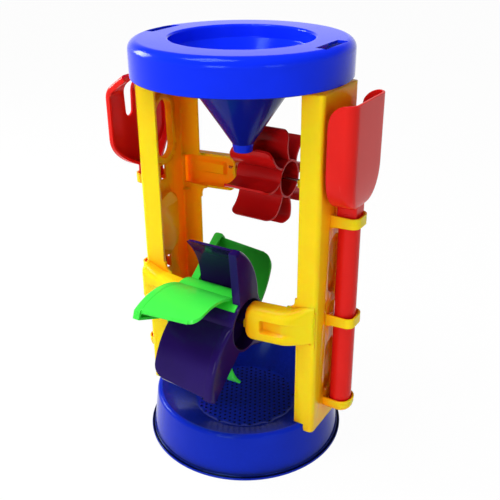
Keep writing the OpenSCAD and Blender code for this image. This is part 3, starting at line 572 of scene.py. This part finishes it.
# x runs along the arm and v across it, from edge to edge: the front is flat up to a share of v, then turns a
# quarter circle, and the rest is the side; the end is closed by rings that shrink to the groove's level
def armGrid(a, length, inset, sweep):
    run = length - inset
    x = np.concatenate([np.sin(np.linspace(0, np.pi / 2, 14))[:-1] * a["riseRun"],
                        np.linspace(a["riseRun"], run - a["edge"], a["rows"]),
                        run - a["edge"] + a["edge"] * np.sin(np.linspace(0, np.pi / 2, 10)[1:])])[:, None]
    drop = (a["edge"] - inset) * circleDrop((x - run + a["edge"]) / a["edge"])
    high = a["high"] - inset - drop + a["climb"] * easeOver(-x, -a["climbRun"], 0)
    low = a["low"] + inset + drop + a["rise"] * easeOver(-x, -a["riseRun"], 0)
    front = -inset - a["endRound"] * circleDrop((x - run + a["endRound"]) / a["endRound"])
    joined = circleDrop((sweep - x) / sweep) if sweep < a["shortSweep"] else 1 - easeOver(x, 0, sweep)
    front = front - a["swell"] * joined
    back = -a["depth"]
    corner = np.minimum(np.maximum(a["edge"] - inset, 1), (front - back) * a["edgeShare"])
    v = np.linspace(-1, 1, a["across"])[None, :]
    share = np.abs(v)
    turn = np.clip((share - a["flatTo"]) / a["bendShare"], 0, 1) * np.pi / 2
    side = np.clip((share - a["sideFrom"]) / a["sideShare"], 0, 1)
    middle, half = (high + low) / 2, (high - low) / 2
    z = middle + np.sign(v) * (np.clip(share / a["flatTo"], 0, 1) * (half - corner) + corner * np.sin(turn))
    y = front - corner * (1 - np.cos(turn)) - side * (front - corner - back)
    start, end, deep = a["groove"]
    stop = length - end
    level = (a["high"] + a["low"]) / 2
    dent = deep * np.clip((x - start) / (stop - start), 0, 1)
    dent = dent * (1 - easeOver(x, stop, stop + a["grooveEnd"]))
    inner, outer = a["grooveHalf"] - a["grooveSide"][0], a["grooveHalf"] + a["grooveSide"][1]
    y = y - dent * (1 - easeOver(np.abs(z - level), inner, outer)) * (share < a["grooveTo"])
    grid = np.stack([x + 0 * v, y, z], -1)
    shrink = np.linspace(1, 0, 6)[1:, None]
    cap = np.stack([run + 0 * shrink + 0 * v, back + (grid[-1:, :, 1] - back) * shrink,
                    level + (grid[-1:, :, 2] - level) * shrink], -1)
    return np.concatenate([grid, cap])


# onto the column in front of the axle, or turned over for the upper arm behind
def armPart(a, length, axleZ, over, sweep):
    angle = math.radians(a["slant"])
    grids = []
    for inset in (0.0, a["wall"]):
        x, y, z = np.moveaxis(armGrid(a, length, inset, sweep), -1, 0)
        placeX = columnShape["face"] - x * math.cos(angle) + y * math.sin(angle)
        placeY = -a["at"] - x * math.sin(angle) - y * math.cos(angle)
        grids.append(np.stack([placeX, over * placeY, axleZ + over * z], -1))
    return shellPart(*grids)


# lug that holds the axle at an arm's end, a rounded block along X
lugShape = {"half": 4.5, "low": -1.6, "high": 7.0, "lowRound": 0.6, "highRound": 2.5}


def lugPart(g, axle, over, start, end):
    line = roundedPath([(-g["half"], g["low"], g["lowRound"]), (g["half"], g["low"], g["lowRound"]),
                        (g["half"], g["high"], g["highRound"]), (-g["half"], g["high"], g["highRound"])], 4)
    y, z = axle[0] + line[:, 0], axle[1] + over * line[:, 1]
    return loftPart(np.stack([np.c_[np.full(len(line), x), y, z] for x in (start, end)]))


# the copy of the CAD column is cut off in front and behind, where the arms are made anew, and its points
# move: the left flange to its depth, tabs down into their slots, square windows in behind the handle
def columnMesh(node, side, c):
    mesh, work = cadCopy(node)
    face, half = (c["face"] + c["facePast"]) * mm, (c["half"] + c["halfPast"]) * mm
    past = [f for f in work.faces if max(side * v.co.x for v in f.verts) > face]
    bmesh.ops.delete(work, geom=past, context="FACES")
    bmesh.ops.holes_fill(work, edges=[e for e in work.edges if e.is_boundary], sides=200)
    for way in (1, -1):
        cut = bmesh.ops.bisect_plane(work, geom=[*work.verts, *work.edges, *work.faces], dist=1e-7,
                                     clear_outer=True, plane_co=(0, way * half, 0), plane_no=(0, way, 0))
        rim = [e for e in cut["geom_cut"] if isinstance(e, bmesh.types.BMEdge)]
        bmesh.ops.triangle_fill(work, edges=rim, use_beauty=True, normal=(0, way, 0))
    bmesh.ops.recalc_face_normals(work, faces=work.faces)
    work.to_mesh(mesh)
    work.free()
    place = np.empty(len(mesh.vertices) * 3)
    mesh.vertices.foreach_get("co", place)
    x, y, z = place.reshape(-1, 3).T / mm
    x = x * side
    old, new = c["flange"]
    flange = (z < c["flangeTop"]) & (side < 0) & (x > old[0]) & (x < old[-1])
    x = np.where(flange, np.interp(x, old, new), x)
    z = np.where(z > c["tab"][0], z - c["tab"][1], z)
    behind = (x > c["webFrom"]) & (np.abs(np.abs(y) - c["squareOld"]) < c["squareNear"])
    behind &= np.any([(z > low) & (z < high) for low, high in c["squares"]], axis=0)
    y = np.where(behind, y * c["squareHalf"] / c["squareOld"], y)
    mesh.vertices.foreach_set("co", (np.stack([x * side, y, z], 1) * mm).ravel())
    mesh.name = node + "Soft"
    smoothShade(mesh, c["sharpAt"])
    return mesh


# per column: lower and upper arm with length and the lug's two ends, then the run in which the front meets
# the column
armEnds = {"right_column": ((65.4, (31.0, 36.0)), (55.0, (36.0, 46.0)), 30.0),
           "left_column": ((61.9, (28.5, 40.0)), (61.9, (28.5, 40.0)), 6.0)}
yellow = ("yellowPolypropylene", "frame", "yellow")
for node, side in (("right_column", 1), ("left_column", -1)):
    addPiece(columnMesh(node, side, columnShape), node + "_moulding", *yellow, [node])
    lowArm, highArm, sweep = armEnds[node]
    arms = []
    for (length, lug), axle, over in ((lowArm, axles["lower"], 1), (highArm, axles["upper"], -1)):
        arms += [armPart(armShape, length, axle[1], over, sweep), lugPart(lugShape, axle, over, *lug)]
    addPiece(solidMesh(node + "Arms", arms, side), node + "_arms", *yellow, (), armShape["edgeMm"])
    holders = [*(loopPart(columnShape, *span) for span in columnShape["loops"]), cupPart(columnShape)]
    addPiece(solidMesh(node + "Holders", holders, side), node + "_holders", *yellow, (),
             columnShape["holderEdgeMm"])
    print("column made", node)

# wheels keep their CAD form with softened edges: finish, body, slot, edge rounding and, on the lower wheel's
# halves, the X of the end wall whose outer corner has a larger rounding
softPieces = {
    "upper_wheel": ("wheelRedPolypropylene", "upper_wheel", "red_wheel", 0.5, None),
    "purple_wheel_half": ("purplePolypropylene", "lower_wheel", "purple", 0.6, 33.2),
    "green_wheel_half": ("greenPolypropylene", "lower_wheel", "green", 0.6, -42.2),
}
wallShape = {"round": 3.0, "steps": 4, "sharpAt": 40, "clear": 30.0, "near": 0.05}
# free corners of the lower wheel's blades, with their X and the way in from it
cornerShape = {"purple_wheel_half": (-33.0, 1), "green_wheel_half": (24.0, -1)}
cornerCut = {"tip": 77.1, "round": 9.0, "outside": 3, "before": 2.0, "count": 72}


# flat faces joined, sharp edges rounded as a mould leaves them, and the copy made a mesh again; the end
# wall's corner is the edges in one plane across X and clear of the hub
def softened(mesh, work, name, edgeMm, wallX, w):
    bmesh.ops.dissolve_limit(work, angle_limit=math.radians(meshRules["flatAt"]), verts=work.verts,
                             edges=work.edges)
    if wallX is not None:
        axleY, axleZ = (v * mm for v in axles["lower"])
        far = [e for e in work.edges if len(e.link_faces) == 2
               and e.calc_face_angle(0) > math.radians(w["sharpAt"])
               and all(abs(v.co.x - wallX * mm) < w["near"] * mm for v in e.verts)
               and all(math.hypot(v.co.y - axleY, v.co.z - axleZ) > w["clear"] * mm for v in e.verts)]
        bmesh.ops.bevel(work, geom=far, offset=w["round"] * mm, offset_type="OFFSET", segments=w["steps"],
                        profile=0.5, affect="EDGES", clamp_overlap=False)
    sharp = [e for e in work.edges if len(e.link_faces) == 2
             and e.calc_face_angle(0) > math.radians(meshRules["roundAt"])]
    bmesh.ops.bevel(work, geom=sharp, offset=edgeMm * mm, offset_type="OFFSET",
                    segments=meshRules["roundSteps"], profile=0.5, affect="EDGES", clamp_overlap=True,
                    miter_outer="ARC", miter_inner="SHARP")
    bmesh.ops.triangulate(work, faces=[f for f in work.faces if len(f.verts) > 4])
    work.to_mesh(mesh)
    work.free()
    mesh.name = name
    smoothShade(mesh, meshRules["sharpAt"])


# ring about the lower axle, outside a quarter circle, that takes the free corners off the blades
def cornerRing(k, free, way):
    r, tip, out = k["round"], k["tip"], k["tip"] + k["outside"]
    curve = arcPoints((tip - r, r), r, 270, 360, 10)
    start = (tip - r, -k["before"])
    outline = np.concatenate([[start], curve, [(out, r), (out, -k["before"]), start]])
    points, faces = turnedPart(outline, k["count"])
    return points[:, [2, 0, 1]] * (way, 1, 1) + (free, *axles["lower"]), faces


for node, (finish, body, slot, edge, wallX) in softPieces.items():
    mesh, work = cadCopy(node)
    work.to_mesh(mesh)
    piece = addPiece(mesh, node + "_moulding", finish, body, slot, [node])
    if node in cornerShape:
        cutAway(piece, solidMesh("cornerCutter", [cornerRing(cornerCut, *cornerShape[node])]))
        work.clear()
        work.from_mesh(piece.data)
        bmesh.ops.remove_doubles(work, verts=work.verts, dist=meshRules["copyMergeMm"] * mm)
    softened(piece.data, work, node + "Soft", edge, wallX, wallShape)
    print("softened", node)

# green hub, drawn on between two purple blades up to the purple end wall: a band of a cylinder
sleeve = {"from": -4.6, "to": 30.5, "in": 28.1, "out": 28.7, "arc": (70, 132), "grid": (33, 5)}
angle, along = np.meshgrid(np.radians(np.linspace(*sleeve["arc"], sleeve["grid"][0])),
                           np.linspace(sleeve["from"], sleeve["to"], sleeve["grid"][1]))
axleY, axleZ = axles["lower"]
skins = [np.stack([along, axleY + r * np.cos(angle), axleZ + r * np.sin(angle)], -1)
         for r in (sleeve["out"], sleeve["in"])]
addPiece(solidMesh("greenSleeve", [shellPart(*skins)]), "green_sleeve", "greenPolypropylene", "lower_wheel",
         "green")
for node in ("upper_axle", "lower_axle"):
    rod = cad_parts[node]
    rod.data.materials.clear()
    rod.data.materials.append(finishes["drawnSteel"])
print("wheels and axles done")

# camera: solved from the round hopper and base in the photograph, in millimetres and degrees
cameraSetup = {"back": 662.40, "up": 520.44, "yaw": 0.5036, "pitch": 25.584, "roll": -0.4129, "turn": 32.0,
               "focalPx": 738.27, "imagePx": 500, "sensorMm": 36.0}


def placeCamera(c):
    yaw, pitch, roll, turn = (math.radians(c[k]) for k in ("yaw", "pitch", "roll", "turn"))
    ahead = Vector((math.sin(yaw) * math.cos(pitch), math.cos(yaw) * math.cos(pitch), -math.sin(pitch)))
    flat = Vector((math.cos(yaw), -math.sin(yaw), 0))
    top = flat.cross(ahead)
    right = math.cos(roll) * flat + math.sin(roll) * top
    up = -math.sin(roll) * flat + math.cos(roll) * top
    about = Matrix.Rotation(turn, 3, "Z")       # from the camera's frame to the toy's frame
    axes = Matrix([about @ right, about @ up, about @ -ahead]).transposed()
    data = bpy.data.cameras.new("photoCamera")
    data.sensor_width = c["sensorMm"]
    data.lens = c["focalPx"] * data.sensor_width / c["imagePx"]
    made = bpy.data.objects.new("photoCamera", data)
    bpy.context.scene.collection.objects.link(made)
    place = about @ Vector((0, -c["back"], c["up"]))
    made.matrix_world = Matrix.Translation(place * mm) @ axes.to_4x4()
    bpy.context.scene.camera = made


placeCamera(cameraSetup)

# studio: white floor and background, a large soft lamp overhead, smaller ones in front and at both sides
lamps = {
    "overheadLamp": {"at": (-0.30, -0.45, 1.70), "size": 0.7, "power": 22.0},
    "frontLamp": {"at": (0.20, -1.50, 0.70), "size": 0.45, "power": 8.5},
    "rightLamp": {"at": (1.30, -0.70, 0.65), "size": 0.4, "power": 2.5},
    "leftLamp": {"at": (-1.30, -0.10, 0.80), "size": 0.5, "power": 14.0},
}
studio = {"lampsAt": (0, 0, 0.22), "worldLight": 0.25, "ceiling": 0.12, "ceilingAt": (0.12, 0.45),
          "floorHalf": 6.0, "floorAt": -0.0002, "floorShow": 0.97, "floorGrey": 0.85}
target = Vector(studio["lampsAt"])
for name, lamp in lamps.items():
    data = bpy.data.lights.new(name, "AREA")
    data.shape, data.size, data.energy = "SQUARE", lamp["size"], lamp["power"]
    made = bpy.data.objects.new(name, data)
    bpy.context.scene.collection.objects.link(made)
    made.location = lamp["at"]
    made.rotation_euler = (target - Vector(lamp["at"])).to_track_quat("-Z", "Y").to_euler()

world = bpy.data.worlds.new("whiteRoom")
bpy.context.scene.world = world
world.use_nodes = True
room = world.node_tree
room.nodes.clear()
rays = addNode(room, "ShaderNodeLightPath")
mirrored = addNode(room, "ShaderNodeMath", {"operation": "MAXIMUM"},
                   {0: (rays, "Is Glossy Ray"), 1: (rays, "Is Transmission Ray")})
seen = addNode(room, "ShaderNodeMath", {"operation": "MAXIMUM"},
               {0: (rays, "Is Camera Ray"), 1: (mirrored, "Value")})
lit = addNode(room, "ShaderNodeBackground", {"Color": (1, 1, 1, 1), "Strength": studio["worldLight"]})
way = addNode(room, "ShaderNodeTexCoord")
parts = addNode(room, "ShaderNodeSeparateXYZ", {}, {"Vector": (way, "Generated")})
dimmed = addNode(room, "ShaderNodeMapRange",         # white wall all round, under a dim ceiling
                 {"From Min": studio["ceilingAt"][0], "From Max": studio["ceilingAt"][1], "To Min": 1.0,
                  "To Max": studio["ceiling"]}, {"Value": (parts, "Z")})
shown = addNode(room, "ShaderNodeBackground", {"Color": (1, 1, 1, 1)}, {"Strength": (dimmed, "Result")})
pick = addNode(room, "ShaderNodeMixShader", {},
               {0: (seen, "Value"), 1: (lit, "Background"), 2: (shown, "Background")})
addNode(room, "ShaderNodeOutputWorld", {}, {"Surface": (pick, "Shader")})

# paper, matt white: it takes the toy's shadow, and nearly vanishes into the background
paper, paperTree = newMaterial("whitePaperSweep")
paperRays = addNode(paperTree, "ShaderNodeLightPath")
paperSeen = addNode(paperTree, "ShaderNodeMath", {"operation": "MAXIMUM"},
                    {0: (paperRays, "Is Camera Ray"), 1: (paperRays, "Is Glossy Ray")})
paperShare = addNode(paperTree, "ShaderNodeMath", {"operation": "MULTIPLY", 1: studio["floorShow"]},
                     {0: (paperSeen, "Value")})
matt = addNode(paperTree, "ShaderNodeBsdfDiffuse", {"Color": (*[studio["floorGrey"]] * 3, 1)})
white = addNode(paperTree, "ShaderNodeEmission", {"Color": (1, 1, 1, 1), "Strength": 1.0})
paperMix = addNode(paperTree, "ShaderNodeMixShader", {},
                   {0: (paperShare, "Value"), 1: (matt, "BSDF"), 2: (white, "Emission")})
addNode(paperTree, "ShaderNodeOutputMaterial", {}, {"Surface": (paperMix, "Shader")})
half, level = studio["floorHalf"], studio["floorAt"]
sweep = bpy.data.meshes.new("floor")
sweep.from_pydata([(x * half, y * half, level) for x, y in ((-1, -1), (1, -1), (1, 1), (-1, 1))],
                  [], [(0, 1, 2, 3)])
sweep.materials.append(paper)
floor = bpy.data.objects.new("floor", sweep)
bpy.context.scene.collection.objects.link(floor)
bpy.context.scene.view_settings.view_transform = "Standard"
print("studio set")
